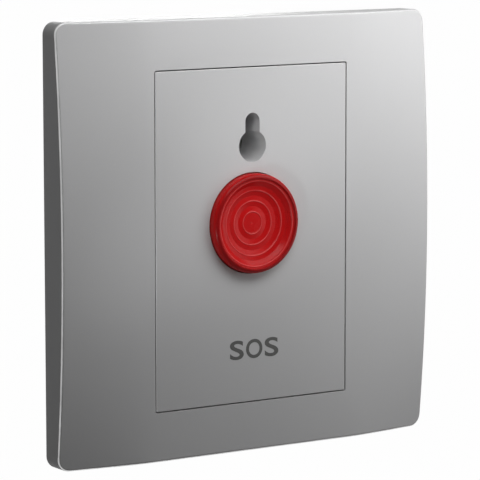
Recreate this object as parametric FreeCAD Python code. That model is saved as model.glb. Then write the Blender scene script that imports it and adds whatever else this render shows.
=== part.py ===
import FreeCAD, Part
import math
import os

# Panic button on a one-gang wall plate, in millimetres.
# The origin is on the wall plane, midway between the two fixing slots.
# +X is to the right seen from the room, +Z is up, the room is on the -Y side
# and the wall box is on the +Y side.

# Plate
plate_size = 86.0
plate_corner_radius = 2.5
plate_depth = 6.8
side_corner_depth = 4.3
front_edge_radius = 0.5
front_margin = 0.1
plate_wall = 2.0
side_wall = 2.2
pry_notch_width = 7.0
pry_notch_height = 1.2

# Centre panel
panel_width = 45.0
panel_height = 66.6
panel_corner_radius = 0.5
panel_gap = 0.25
panel_edge_radius = 0.15
panel_wall = 1.8
panel_skirt = 1.6
window_lip = 1.5

# Keyhole and key guide
key_height = 17.65
key_radius = 3.15
key_slot_width = 3.35
key_slot_top = 6.5
key_guide_length = 8.6
key_guide_wall = 1.0
key_guide_clearance = 0.2

# Button cap
button_height = 2.45
cap_radius = 9.85
cap_proud = 2.0
cap_rim_radius = 0.85
cap_wall = 1.5
cap_dish_depth = 2.1
cap_gap = 0.2
cap_lip_width = 0.85
cap_lip_thickness = 1.0
cap_lip_gap = 0.05
ridge_radii = (2.2, 4.35, 6.45, 8.4)
ridge_width = 0.36
ridge_crest = 0.1
groove_depth = 0.16
button_travel = 2.4

# Plunger
plunger_radius = 3.0
plunger_fit = 0.06
spigot_radius = 2.4
spigot_length = 2.0
spigot_fit = 0.05
socket_wall = 1.8
stem_radius = 1.6
stem_tail = 3.4
tooth_width = 3.0
tooth_clearance = 0.15
latch_lift = 1.2
latch_gap = 0.1

# Latch slider, keeper and deck
slider_thickness = 1.2
slider_half_width = 9.5
slider_band = 1.1
slide_clearance = 0.1
key_sweep_clearance = 0.3
keeper_thickness = 1.2
keeper_wall = 1.2
keeper_margin = 0.5
post_radius = 1.3
post_offset = 5.6
post_slot_clearance = 0.1
deck_thickness = 2.0
deck_clearance = 0.2
plunger_guide_length = 2.2
plunger_guide_wall = 1.4
latch_spring_radius = 1.2
latch_spring_wire = 0.35
keeper_side_gap = 1.1
latch_spring_turns = 5.0
latch_spring_offset = 3.5
spring_channel_clearance = 0.25
tongue_length = 2.4
tongue_width = 0.9

# Mounting frame
carrier_size = 72.0
carrier_corner_radius = 5.0
carrier_height = 3.0
carrier_plate = 1.4
carrier_rim = 1.4
fixing_spacing = 60.3
fixing_slot_width = 4.4
fixing_slot_length = 7.0
fixing_boss_wall = 2.0
fixing_head_radius = 4.0
fixing_head_recess = 1.0
snap_offset = 20.0
snap_width = 8.0
snap_thickness = 1.4
snap_hook = 0.8
snap_hook_height = 1.2
snap_clearance = 0.2
snap_back = 0.4

# Rear housing
housing_width = 44.0
housing_height = 56.0
housing_depth = 24.2
housing_wall = 1.8
housing_corner_radius = 2.5
housing_back_radius = 0.9
flange_side = 2.2
flange_end = 5.2
deck_post_size = 4.6
spring_cup_wall = 1.0
spring_cup_height = 1.5
spring_cup_clearance = 0.2

# Screws
case_screw_radius = 1.25
case_screw_length = 4.4
case_screw_head_radius = 2.2
case_screw_head_height = 1.5
case_screw_offset = 18.0
case_screw_wall_gap = 0.2
small_screw_radius = 0.9
small_screw_length = 4.5
small_screw_head_radius = 1.8
small_screw_head_height = 1.0
keeper_screw_length = 3.6
thread_clearance = 0.15
driver_slot_width = 0.6
driver_slot_depth = 0.6
driver_slot_margin = 0.6
screw_head_bevel = 0.35
boss_wall = 1.2
boss_front_wall = 0.9

# Contacts
bridge_length = 22.0
bridge_width = 5.0
bridge_thickness = 0.8
bridge_corner_radius = 0.8
bridge_fit = 0.05
bridge_spring_length = 3.0
bridge_spring_radius = 2.5
bridge_spring_wire = 0.45
bridge_spring_turns = 2.5
clip_thickness = 0.6
clip_radius = 3.3
clip_groove_depth = 0.4
clip_fit = 0.05
contact_spacing = 18.0
tip_radius = 1.4
tip_height = 0.5
tip_shank_radius = 0.7
tip_shank_fit = 0.03
contact_clearance = 0.02
strip_thickness = 0.8
strip_width = 4.0
strip_end = 2.2
button_spring_radius = 3.0
button_spring_wire = 0.6
button_spring_turns = 4.0
wire_sides = 6

# Terminals
terminal_post_gap = 1.0
terminal_end_gap = 0.8
terminal_length = 5.4
terminal_wall = 1.0
terminal_floor_gap = 0.4
terminal_strip_gap = 0.33
terminal_room = 4.4
terminal_screw_radius = 1.5
terminal_screw_head_radius = 2.5
terminal_screw_head_height = 1.5
terminal_screw_length = 3.2
terminal_screw_gap = 0.6
driver_hole_radius = 1.9
wire_radius = 1.8
peg_radius = 0.8
peg_height = 0.5
peg_fit = 0.05
pillar_size = 3.4

# Planes across the depth, worked out from the sizes above
panel_front = -plate_depth
panel_back = panel_front + panel_wall
carrier_front = -carrier_height
carrier_back = carrier_front + carrier_plate
key_guide_end = panel_front + key_guide_length
keeper_back = key_guide_end + key_guide_clearance
keeper_front = keeper_back - keeper_thickness
slider_front = keeper_back + slide_clearance
slider_back = slider_front + slider_thickness
deck_front = slider_back + slide_clearance
deck_back = deck_front + deck_thickness
plunger_guide_end = deck_back + plunger_guide_length
housing_floor = housing_depth - housing_wall
terminal_back = housing_floor - terminal_floor_gap
terminal_front = terminal_back - terminal_length
no_strip_front = terminal_front - terminal_strip_gap - strip_thickness
bridge_back = no_strip_front - contact_clearance - button_travel - 2 * tip_height
bridge_front = bridge_back - bridge_thickness
clip_back = bridge_back + clip_thickness
nc_strip_back = bridge_front - 2 * tip_height
shoulder = bridge_front - bridge_spring_length
cap_front = panel_front - cap_proud
cap_lip_front = panel_back + cap_lip_gap
cap_lip_back = cap_lip_front + cap_lip_thickness
socket_floor = cap_front + cap_dish_depth + cap_wall
socket_mouth = socket_floor + spigot_length

# Half sizes and positions in the plane of the wall
plate_half = plate_size / 2
window_half_width = panel_width / 2
window_half_height = panel_height / 2
mouth_half_width = housing_width / 2 - housing_wall
mouth_half_height = housing_height / 2 - housing_wall
case_screw_height = housing_height / 2 + case_screw_head_radius + case_screw_wall_gap
deck_post_x = mouth_half_width - deck_post_size / 2
deck_post_z = mouth_half_height - deck_post_size / 2
plunger_window_half = plunger_radius + latch_gap + tooth_clearance
key_sweep = key_slot_top + key_sweep_clearance
post_height = button_height + plunger_window_half + slider_band + post_radius + post_slot_clearance
slider_bottom = button_height - plunger_window_half - slider_band - keeper_margin
slider_top = key_height + key_sweep + slider_band
latch_spring_height = key_height - latch_spring_offset
latch_spring_start = slider_half_width
latch_spring_end = mouth_half_width - keeper_side_gap - keeper_wall
latch_level = (slider_front + slider_back) / 2
tooth_reach = plunger_radius + latch_lift
tip_x = contact_spacing / 2
terminal_half = terminal_room / 2 + terminal_wall
terminal_x = deck_post_x - deck_post_size / 2 - terminal_post_gap - terminal_half
terminal_seat = mouth_half_height - terminal_end_gap - terminal_screw_head_height
terminal_height = terminal_seat - terminal_screw_gap - terminal_half
eps = 0.01
past = 1.0
front_tolerance = 1e-4


def block(x0, x1, y0, y1, z0, z1):
    """A box between two limits on each axis."""
    return Part.makeBox(x1 - x0, y1 - y0, z1 - z0, FreeCAD.Vector(x0, y0, z0))


def cylinder(radius, y0, y1, x=0.0, z=0.0):
    """A round bar along Y."""
    return Part.makeCylinder(radius, y1 - y0, FreeCAD.Vector(x, y0, z), FreeCAD.Vector(0, 1, 0))


def runs_along(edge, axis):
    """True for a straight edge parallel to a unit vector."""
    if len(edge.Vertexes) < 2:
        return False
    chord = edge.Vertexes[1].Point - edge.Vertexes[0].Point
    straight = abs(chord.Length - edge.Length) < 1e-6
    return straight and abs(abs(chord.dot(axis)) - chord.Length) < 1e-6


def slab(half_width, half_height, radius, y0, y1, x=0.0, z=0.0):
    """A plate across Y whose four corners are rounded."""
    body = block(x - half_width, x + half_width, y0, y1, z - half_height, z + half_height)
    corners = [e for e in body.Edges if runs_along(e, FreeCAD.Vector(0, 1, 0))]
    return body.makeFillet(radius, corners)


def oval(length, radius, y0, y1, x=0.0, z=0.0):
    """A long hole's shape, drawn out along X."""
    reach = length / 2 - radius
    ends = [cylinder(radius, y0, y1, x + side * reach, z) for side in (-1, 1)]
    middle = block(x - reach, x + reach, y0, y1, z - radius, z + radius)
    return middle.fuse(ends).removeSplitter()


def keyhole(offset, y0, y1):
    """The keyhole's outline, grown by an offset: a circle with a slot that rises from it."""
    half = key_slot_width / 2
    top = key_height + key_slot_top - half
    circle = cylinder(key_radius + offset, y0, y1, 0, key_height)
    slot = block(-half - offset, half + offset, y0, y1, key_height, top)
    arch = cylinder(half + offset, y0, y1, 0, top)
    return circle.fuse([slot, arch]).removeSplitter()


def turned(profile, x, z):
    """A solid of revolution about an axis along Y, from (radius, y) points and arcs.

    Each item is a point, or a pair of points for an arc: its middle and its end.
    """
    edges = []
    here = profile[0]
    for item in profile[1:] + [profile[0]]:
        arc = isinstance(item[0], tuple)
        end = item[1] if arc else item
        a = FreeCAD.Vector(x + here[0], here[1], z)
        b = FreeCAD.Vector(x + end[0], end[1], z)
        if arc:
            middle = FreeCAD.Vector(x + item[0][0], item[0][1], z)
            edges.append(Part.Arc(a, middle, b).toShape())
        elif a.distanceToPoint(b) > 1e-6:
            edges.append(Part.makeLine(a, b))
        here = end
    face = Part.Face(Part.Wire(edges))
    return face.revolve(FreeCAD.Vector(x, 0, z), FreeCAD.Vector(0, 1, 0), 360)


def corners_of(half_x, half_z):
    """The four places at plus and minus two distances."""
    return [(sx * half_x, sz * half_z) for sx in (-1, 1) for sz in (-1, 1)]


def space_before_front(offset):
    """Everything in front of the plate's face, moved back by an offset.

    The face is flat as wide as the centre panel. Beside it the left and right edges are arcs that
    fall towards the corners. Outwards each side band starts level and then falls evenly, so the
    rise of its poles is 0, 0 and equal steps up to 1. Along Z the poles of a square are 1, -1, 1.
    """
    degree = 5
    reach = plate_half + front_margin
    knots = (-reach, -window_half_width, window_half_width, reach)
    places = [-reach]
    for start, end in zip(knots, knots[1:]):
        places += [start + (end - start) * k / degree for k in range(1, degree + 1)]
    fall = (plate_depth - side_corner_depth) * (reach / plate_half) ** 2
    poles = []
    for x in places:
        steps = degree * (abs(x) - window_half_width) / (reach - window_half_width)
        drop = fall * max(0.0, steps - 1) / (degree - 1)
        row = ((-reach, drop), (0.0, -drop), (reach, drop))
        poles.append([FreeCAD.Vector(x, panel_front + offset + y, z) for z, y in row])
    counts = (degree + 1, degree, degree, degree + 1)
    surface = Part.BSplineSurface()
    surface.buildFromPolesMultsKnots(
        poles, counts, (3, 3), knots, (-reach, reach), False, False, degree, 2
    )
    for inner in (2, 3):
        surface.removeUKnot(inner, degree - 1, front_tolerance)
    return surface.toShape().extrude(FreeCAD.Vector(0, -2 * plate_depth, 0))


def snap_places():
    """Where the trim's hooks hold the carrier: two above and two below."""
    return [(side * snap_offset, end) for side in (-1, 1) for end in (-1, 1)]


def snap_hook_solid(x, end):
    """One hook: a leaf outside the carrier's rim with a barb that points inwards."""
    rim = carrier_size / 2 + snap_clearance
    front = panel_front + plate_wall / 2
    leaf_back = -snap_back
    inner = rim
    outer = rim + snap_thickness
    tip = rim - snap_hook
    points = [
        FreeCAD.Vector(0, front, inner),
        FreeCAD.Vector(0, front, outer),
        FreeCAD.Vector(0, leaf_back, outer),
        FreeCAD.Vector(0, leaf_back, inner),
        FreeCAD.Vector(0, leaf_back - snap_hook_height / 2, tip),
        FreeCAD.Vector(0, leaf_back - snap_hook_height, tip),
        FreeCAD.Vector(0, leaf_back - snap_hook_height, inner),
    ]
    face = Part.Face(Part.makePolygon(points + points[:1]))
    hook = face.extrude(FreeCAD.Vector(snap_width, 0, 0))
    hook.translate(FreeCAD.Vector(-snap_width / 2, 0, 0))
    if end < 0:
        hook = hook.mirror(FreeCAD.Vector(0, 0, 0), FreeCAD.Vector(0, 0, 1))
    hook.translate(FreeCAD.Vector(x, 0, 0))
    return hook


def make_trim_frame():
    """The outer frame: its face, straight sides, a lip round the window and four hooks."""
    body = slab(plate_half, plate_half, plate_corner_radius, -plate_depth - past, 0)
    body = body.cut(space_before_front(0))
    middle = panel_front + plate_depth / 2
    front_edges = [
        e for e in body.Edges
        if not runs_along(e, FreeCAD.Vector(0, 1, 0)) and e.CenterOfMass.y < middle
    ]
    body = body.makeFillet(front_edge_radius, front_edges)
    inside = plate_half - side_wall
    hollow = block(-inside, inside, -plate_depth, past, -inside, inside)
    hollow = hollow.cut(space_before_front(plate_wall))
    body = body.cut(hollow)
    lip = slab(
        window_half_width + window_lip,
        window_half_height + window_lip,
        panel_corner_radius + window_lip,
        panel_front + plate_wall / 2,
        carrier_front,
    )
    body = body.fuse([lip] + [snap_hook_solid(x, end) for x, end in snap_places()])
    window = slab(
        window_half_width, window_half_height, panel_corner_radius, -plate_depth - past, past
    )
    notch = block(
        -pry_notch_width / 2,
        pry_notch_width / 2,
        -pry_notch_height,
        past,
        -plate_half - past,
        -inside + eps,
    )
    return body.cut([window, notch]).removeSplitter()


def make_centre_panel():
    """The flush panel: a shallow tray with the button's hole, the key guide and four bosses."""
    half_width = window_half_width - panel_gap
    half_height = window_half_height - panel_gap
    radius = panel_corner_radius - panel_gap
    body = slab(half_width, half_height, radius, panel_front, carrier_front)
    front_edges = [e for e in body.Edges if abs(e.BoundBox.YMax - panel_front) < 1e-6]
    body = body.makeFillet(panel_edge_radius, front_edges)
    hollow = block(
        -half_width + panel_skirt,
        half_width - panel_skirt,
        panel_back,
        carrier_front + past,
        -half_height + panel_skirt,
        half_height - panel_skirt,
    )
    body = body.cut(hollow)
    boss_radius = case_screw_radius + boss_wall
    bosses = [
        cylinder(boss_radius, panel_back - eps, carrier_front, x, z)
        for x, z in corners_of(case_screw_offset, case_screw_height)
    ]
    guide = keyhole(key_guide_wall, panel_back - eps, key_guide_end)
    body = body.fuse(bosses + [guide])
    outline = slab(half_width, half_height, radius, panel_front - past, key_guide_end + past)
    body = body.common(outline)
    pilot = case_screw_radius - thread_clearance
    pilots = [
        cylinder(pilot, panel_front + boss_front_wall, carrier_front + past, x, z)
        for x, z in corners_of(case_screw_offset, case_screw_height)
    ]
    button_hole = cylinder(cap_radius + cap_gap, panel_front - past, panel_back + past, 0, button_height)
    key_way = keyhole(0, panel_front - past, key_guide_end + past)
    return body.cut(pilots + [button_hole, key_way]).removeSplitter()


def fixing_places():
    """The two fixing slots, left and right of the middle."""
    return [-fixing_spacing / 2, fixing_spacing / 2]


def make_mounting_frame():
    """The carrier: a plate with a rim, two slotted fixing bosses and pockets for the hooks."""
    half = carrier_size / 2
    body = slab(half, half, carrier_corner_radius, carrier_front, 0)
    hollow = slab(
        half - carrier_rim,
        half - carrier_rim,
        carrier_corner_radius - carrier_rim,
        carrier_back,
        past,
    )
    body = body.cut(hollow)
    bosses = [
        oval(
            fixing_slot_length + 2 * fixing_boss_wall,
            fixing_slot_width / 2 + fixing_boss_wall,
            carrier_front,
            0,
            x,
        )
        for x in fixing_places()
    ]
    body = body.fuse(bosses).common(slab(half, half, carrier_corner_radius, carrier_front, 0))
    slots = [
        oval(fixing_slot_length, fixing_slot_width / 2, carrier_front - past, past, x)
        for x in fixing_places()
    ]
    play = fixing_slot_length - fixing_slot_width
    recesses = [
        oval(
            play + 2 * fixing_head_radius,
            fixing_head_radius,
            carrier_front - past,
            carrier_front + fixing_head_recess,
            x,
        )
        for x in fixing_places()
    ]
    window = slab(
        mouth_half_width, mouth_half_height, panel_corner_radius, carrier_front - past, past
    )
    screw_holes = [
        cylinder(case_screw_radius + thread_clearance, carrier_front - past, past, x, z)
        for x, z in corners_of(case_screw_offset, case_screw_height)
    ]
    return body.cut(slots + recesses + screw_holes + [window] + snap_pockets()).removeSplitter()


def snap_pockets():
    """Pockets in the carrier's rim that take the barbs of the hooks."""
    rim = carrier_size / 2
    half = snap_width / 2 + snap_clearance
    back = -snap_back + snap_clearance
    front = -snap_back - snap_hook_height - snap_clearance
    pockets = []
    for x, end in snap_places():
        low, high = sorted((end * (rim - carrier_rim - past), end * (rim + past)))
        pockets.append(block(x - half, x + half, front, back, low, high))
    return pockets


def make_rear_housing():
    """The switch box: a flanged tub with deck posts, strip pillars, wire and screw holes."""
    half_width = housing_width / 2
    half_height = housing_height / 2
    flange = slab(
        half_width + flange_side,
        half_height + flange_end,
        housing_corner_radius,
        carrier_back,
        0,
    )
    tub = slab(half_width, half_height, housing_corner_radius, carrier_back, housing_depth)
    back_edges = [e for e in tub.Edges if abs(e.BoundBox.YMin - housing_depth) < 1e-6]
    tub = tub.makeFillet(housing_back_radius, back_edges)
    body = flange.fuse(tub)
    hollow = slab(
        mouth_half_width,
        mouth_half_height,
        housing_corner_radius - housing_wall,
        carrier_back - past,
        housing_floor,
    )
    body = body.cut(hollow)
    posts = []
    for x, z in corners_of(deck_post_x, deck_post_z):
        half = deck_post_size / 2 + eps
        posts.append(block(x - half, x + half, deck_back, housing_floor + eps, z - half, z + half))
    cup_radius = button_spring_radius + spring_cup_clearance + spring_cup_wall
    cup = cylinder(
        cup_radius, housing_floor - spring_cup_height, housing_floor + eps, 0, button_height
    )
    body = body.fuse(posts + strip_pillars() + [cup])
    seat = cylinder(
        button_spring_radius + spring_cup_clearance,
        housing_floor - spring_cup_height - past,
        housing_floor,
        0,
        button_height,
    )
    pilots = [
        cylinder(
            small_screw_radius - thread_clearance,
            deck_back - past,
            deck_front + small_screw_length + past,
            x,
            z,
        )
        for x, z in corners_of(deck_post_x, deck_post_z)
    ]
    flange_holes = [
        cylinder(case_screw_radius + thread_clearance, carrier_back - past, past, x, z)
        for x, z in corners_of(case_screw_offset, case_screw_height)
    ]
    return body.cut([seat] + pilots + flange_holes + terminal_openings()).removeSplitter()


def strip_pillars():
    """Pillars on the housing's floor, each with a peg that holds one contact strip."""
    pillars = []
    half = pillar_size / 2
    for x, z, front in peg_places():
        pillars.append(block(x - half, x + half, front, housing_floor + eps, z - half, z + half))
        pillars.append(cylinder(peg_radius, front - strip_thickness - peg_height, front + eps, x, z))
    return pillars


def peg_places():
    """Each strip's peg: x, z and the depth of the face the strip lies on."""
    above = (terminal_height + button_height) / 2
    below = (-terminal_height + button_height) / 2
    places = []
    for side in (-1, 1):
        places.append((side * terminal_x, above, nc_strip_back))
        places.append((side * terminal_x, below, no_strip_front + strip_thickness))
    return places


def terminal_openings():
    """Holes for the wires in the floor and for the driver in the top and bottom walls."""
    holes = []
    level = terminal_back - terminal_length / 2
    for x, z in corners_of(terminal_x, terminal_height):
        holes.append(cylinder(wire_radius, housing_floor - past, housing_depth + past, x, z))
        outward = math.copysign(1, z)
        start = FreeCAD.Vector(x, level, outward * (mouth_half_height - eps))
        holes.append(
            Part.makeCylinder(driver_hole_radius, housing_wall + past, start, FreeCAD.Vector(0, 0, outward))
        )
    return holes


def make_mechanism_deck():
    """The deck: a plate on the housing's posts with the plunger's guide and two slider posts."""
    body = slab(
        mouth_half_width - deck_clearance,
        mouth_half_height - deck_clearance,
        housing_corner_radius - housing_wall,
        deck_front,
        deck_back,
    )
    guide = cylinder(
        plunger_radius + plunger_guide_wall, deck_back - eps, plunger_guide_end, 0, button_height
    )
    posts = [
        cylinder(post_radius, keeper_back, deck_front + eps, side * post_offset, post_height)
        for side in (-1, 1)
    ]
    body = body.fuse([guide] + posts)
    bore = cylinder(
        plunger_radius + plunger_fit, deck_front - past, plunger_guide_end + past, 0, button_height
    )
    half_tooth = tooth_width / 2 + tooth_clearance
    keyway = block(
        0,
        tooth_reach + tooth_clearance + latch_gap,
        deck_front - past,
        plunger_guide_end + past,
        button_height - half_tooth,
        button_height + half_tooth,
    )
    key_end = cylinder(key_slot_width / 2, deck_front - past, deck_back + past, 0, key_height)
    channel_half = latch_spring_radius + spring_channel_clearance
    channel = block(
        latch_spring_start - spring_channel_clearance,
        latch_spring_end,
        deck_front - past,
        latch_level + channel_half,
        latch_spring_height - channel_half,
        latch_spring_height + channel_half,
    )
    screw_holes = [
        cylinder(small_screw_radius + thread_clearance, deck_front - past, deck_back + past, x, z)
        for x, z in corners_of(deck_post_x, deck_post_z)
    ]
    pilots = [
        cylinder(
            small_screw_radius - thread_clearance,
            keeper_back - past,
            deck_back + past,
            side * post_offset,
            post_height,
        )
        for side in (-1, 1)
    ]
    return body.cut([bore, keyway, key_end, channel] + screw_holes + pilots).removeSplitter()


def make_latch_keeper():
    """The keeper: a cover over the slider with side walls, forked round the key guide."""
    left = -slider_half_width - keeper_margin
    right = slider_half_width + latch_lift + keeper_margin
    bottom = slider_bottom - keeper_margin
    top = key_height + key_radius
    cover = block(left - keeper_wall, right, keeper_front, keeper_back, bottom - keeper_wall, top)
    left_wall = block(left - keeper_wall, left, keeper_back - eps, deck_front, bottom - keeper_wall, top)
    floor_wall = block(
        left - keeper_wall, right, keeper_back - eps, deck_front, bottom - keeper_wall, bottom
    )
    channel_half = latch_spring_radius + spring_channel_clearance
    arm_half = channel_half + keeper_wall
    arm_end = latch_spring_end + keeper_wall
    arm = block(
        right - eps,
        arm_end,
        keeper_front,
        keeper_back,
        latch_spring_height - arm_half,
        latch_spring_height + arm_half,
    )
    foot = block(
        latch_spring_end + eps,
        arm_end,
        keeper_back - eps,
        deck_front,
        latch_spring_height - arm_half,
        latch_spring_height + arm_half,
    )
    body = cover.fuse([left_wall, floor_wall, arm, foot])
    fork = keyhole(key_guide_wall + key_guide_clearance, keeper_front - past, keeper_back + past)
    half_tooth = tooth_width / 2 + 2 * tooth_clearance
    hole_radius = plunger_radius + 2 * tooth_clearance
    plunger_hole = cylinder(hole_radius, keeper_front - past, keeper_back + past, 0, button_height)
    tooth_slot = block(
        0,
        tooth_reach + 2 * tooth_clearance,
        keeper_front - past,
        keeper_back + past,
        button_height - half_tooth,
        button_height + half_tooth,
    )
    channel = block(
        latch_spring_start - spring_channel_clearance,
        latch_spring_end,
        latch_level - channel_half,
        keeper_back + past,
        latch_spring_height - channel_half,
        latch_spring_height + channel_half,
    )
    screw_holes = [
        cylinder(
            small_screw_radius + thread_clearance,
            keeper_front - past,
            keeper_back + past,
            side * post_offset,
            post_height,
        )
        for side in (-1, 1)
    ]
    return body.cut([fork, plunger_hole, tooth_slot, channel] + screw_holes).removeSplitter()


def make_latch_slider():
    """The slider: a stamped plate with a bevelled catch, a window for the key and two slots."""
    body = slab(
        slider_half_width,
        (slider_top - slider_bottom) / 2,
        slider_band,
        slider_front,
        slider_back,
        0,
        (slider_top + slider_bottom) / 2,
    )
    tongue = block(
        slider_half_width - eps,
        slider_half_width + tongue_length,
        slider_front,
        slider_back,
        latch_spring_height - tongue_width / 2,
        latch_spring_height + tongue_width / 2,
    )
    body = body.fuse(tongue)
    catch = plunger_radius + latch_gap
    slope = latch_lift / button_travel
    widen = slope * (slider_thickness + past)
    left = -catch - latch_lift
    window_points = [
        FreeCAD.Vector(left, slider_front - past, 0),
        FreeCAD.Vector(catch + widen, slider_front - past, 0),
        FreeCAD.Vector(catch, slider_back, 0),
        FreeCAD.Vector(catch, slider_back + past, 0),
        FreeCAD.Vector(left, slider_back + past, 0),
    ]
    window_face = Part.Face(Part.makePolygon(window_points + window_points[:1]))
    window = window_face.extrude(FreeCAD.Vector(0, 0, 2 * plunger_window_half))
    window.translate(FreeCAD.Vector(0, 0, button_height - plunger_window_half))
    key_window = slab(
        (key_sweep + key_slot_top - latch_lift) / 2,
        key_sweep,
        slider_band,
        slider_front - past,
        slider_back + past,
        (key_slot_top - latch_lift - key_sweep) / 2,
        key_height,
    )
    half_slot = post_radius + post_slot_clearance
    slots = [
        oval(
            2 * half_slot + latch_lift,
            half_slot,
            slider_front - past,
            slider_back + past,
            side * post_offset - latch_lift / 2,
            post_height,
        )
        for side in (-1, 1)
    ]
    return body.cut([window, key_window] + slots).removeSplitter()


def dish_level(radius):
    """Depth of the button's hollow face at a distance from its axis."""
    edge = cap_radius - cap_rim_radius
    return cap_front + cap_dish_depth * (1 - (radius / edge) ** 4)


def make_button_cap():
    """The cap: a hollow face with ring ridges, a rounded rim, a skirt with a lip and a socket."""
    half = ridge_width / 2
    edge = cap_radius - cap_rim_radius
    profile = [(0.0, dish_level(ridge_radii[0]))]
    for ridge, following in zip(ridge_radii, ridge_radii[1:] + (edge + half,)):
        valley = (ridge + following) / 2
        profile += [
            (ridge - half, dish_level(ridge - half)),
            (ridge, dish_level(ridge) - ridge_crest),
            (ridge + half, dish_level(ridge + half)),
            (valley, dish_level(valley) + groove_depth),
        ]
    profile.append((edge, cap_front))
    lean = math.sqrt(0.5)
    rim_middle = (edge + cap_rim_radius * lean, cap_front + cap_rim_radius * (1 - lean))
    profile.append((rim_middle, (cap_radius, cap_front + cap_rim_radius)))
    socket_radius = spigot_radius + spigot_fit
    profile += [
        (cap_radius, cap_lip_front),
        (cap_radius + cap_lip_width, cap_lip_front),
        (cap_radius + cap_lip_width, cap_lip_back),
        (cap_radius - cap_wall, cap_lip_back),
        (cap_radius - cap_wall, cap_front + cap_rim_radius + cap_wall),
        (socket_radius + socket_wall, socket_floor),
        (socket_radius + socket_wall, socket_mouth),
        (socket_radius, socket_mouth),
        (socket_radius, socket_floor),
        (0.0, socket_floor),
    ]
    return turned(profile, 0, button_height)


def make_plunger():
    """The plunger: a stepped bar with the ramp tooth of the latch and a groove for the clip."""
    groove_radius = stem_radius - clip_groove_depth
    tail = clip_back + stem_tail
    profile = [
        (0.0, socket_floor + spigot_fit),
        (spigot_radius, socket_floor + spigot_fit),
        (spigot_radius, socket_mouth),
        (plunger_radius, socket_mouth),
        (plunger_radius, shoulder),
        (stem_radius, shoulder),
        (stem_radius, bridge_back),
        (groove_radius, bridge_back),
        (groove_radius, clip_back),
        (stem_radius, clip_back),
        (stem_radius, tail - clip_groove_depth),
        (groove_radius, tail),
        (0.0, tail),
    ]
    body = turned(profile, 0, button_height)
    ramp = [
        FreeCAD.Vector(0, slider_back - button_travel, 0),
        FreeCAD.Vector(tooth_reach, slider_back - button_travel, 0),
        FreeCAD.Vector(plunger_radius, slider_back, 0),
        FreeCAD.Vector(0, slider_back, 0),
    ]
    tooth = Part.Face(Part.makePolygon(ramp + ramp[:1])).extrude(FreeCAD.Vector(0, 0, tooth_width))
    tooth.translate(FreeCAD.Vector(0, 0, button_height - tooth_width / 2))
    return body.fuse(tooth).removeSplitter()


def coil(mean_radius, wire, length, turns):
    """A compression spring along +Z whose first and last turns touch 0 and its length.

    The wire is drawn with flat sides, and its section has the area of a round wire's.
    """
    height = length - wire
    helix = Part.makeHelix(height / turns, height, mean_radius)
    turn = 2 * math.pi / wire_sides
    reach = wire / 2 * math.sqrt(2 * math.pi / (wire_sides * math.sin(turn)))
    corners = []
    for side in range(wire_sides):
        angle = turn * side
        corners.append(FreeCAD.Vector(mean_radius + reach * math.cos(angle), 0, reach * math.sin(angle)))
    section = Part.makePolygon(corners + corners[:1])
    spring = Part.Wire(helix.Edges).makePipeShell([section], True, True)
    spring.translate(FreeCAD.Vector(0, 0, wire / 2))
    return spring


def spring_along_y(mean_radius, wire, y0, y1, turns):
    """A spring on the button's axis between two depths."""
    spring = coil(mean_radius, wire, y1 - y0, turns)
    spring.rotate(FreeCAD.Vector(0, 0, 0), FreeCAD.Vector(1, 0, 0), -90)
    spring.translate(FreeCAD.Vector(0, y0, button_height))
    return spring


def make_button_spring():
    """The return spring between the clip and the housing's floor."""
    mean = button_spring_radius - button_spring_wire / 2
    return spring_along_y(mean, button_spring_wire, clip_back, housing_floor, button_spring_turns)


def make_bridge_spring():
    """The contact spring between the plunger's shoulder and the bridge."""
    mean = bridge_spring_radius - bridge_spring_wire / 2
    return spring_along_y(mean, bridge_spring_wire, shoulder, bridge_front, bridge_spring_turns)


def make_latch_spring():
    """The slider's spring, from the slider's edge to the end of its channel."""
    mean = latch_spring_radius - latch_spring_wire / 2
    length = latch_spring_end - latch_spring_start
    spring = coil(mean, latch_spring_wire, length, latch_spring_turns)
    spring.rotate(FreeCAD.Vector(0, 0, 0), FreeCAD.Vector(0, 1, 0), 90)
    spring.translate(FreeCAD.Vector(latch_spring_start, latch_level, latch_spring_height))
    return spring


def make_contact_bridge():
    """The moving bar, with a hole for the stem and one for each rivet."""
    body = slab(
        bridge_length / 2,
        bridge_width / 2,
        bridge_corner_radius,
        bridge_front,
        bridge_back,
        0,
        button_height,
    )
    holes = [cylinder(stem_radius + bridge_fit, bridge_front - past, bridge_back + past, 0, button_height)]
    for side in (-1, 1):
        holes.append(
            cylinder(
                tip_shank_radius + tip_shank_fit,
                bridge_front - past,
                bridge_back + past,
                side * tip_x,
                button_height,
            )
        )
    return body.cut(holes)


def rivet(x, front, back):
    """A contact rivet through a sheet, with a head on each side of it."""
    return turned(
        [
            (0.0, front - tip_height),
            (tip_radius, front - tip_height),
            (tip_radius, front),
            (tip_shank_radius, front),
            (tip_shank_radius, back),
            (tip_radius, back),
            (tip_radius, back + tip_height),
            (0.0, back + tip_height),
        ],
        x,
        button_height,
    )


def make_bridge_tips():
    """The two rivets of the moving bar."""
    return Part.makeCompound([rivet(side * tip_x, bridge_front, bridge_back) for side in (-1, 1)])


def make_fixed_tips():
    """The four rivets of the strips."""
    tips = []
    for side in (-1, 1):
        tips.append(rivet(side * tip_x, nc_strip_back - strip_thickness, nc_strip_back))
        tips.append(rivet(side * tip_x, no_strip_front, no_strip_front + strip_thickness))
    return Part.makeCompound(tips)


def make_bridge_clip():
    """The open retaining ring in the stem's groove."""
    inner = stem_radius - clip_groove_depth + clip_fit
    ring = cylinder(clip_radius, bridge_back, clip_back, 0, button_height)
    bore = cylinder(inner, bridge_back - past, clip_back + past, 0, button_height)
    mouth = block(
        -inner,
        inner,
        bridge_back - past,
        clip_back + past,
        button_height - clip_radius - past,
        button_height,
    )
    return ring.cut([bore, mouth])


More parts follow.
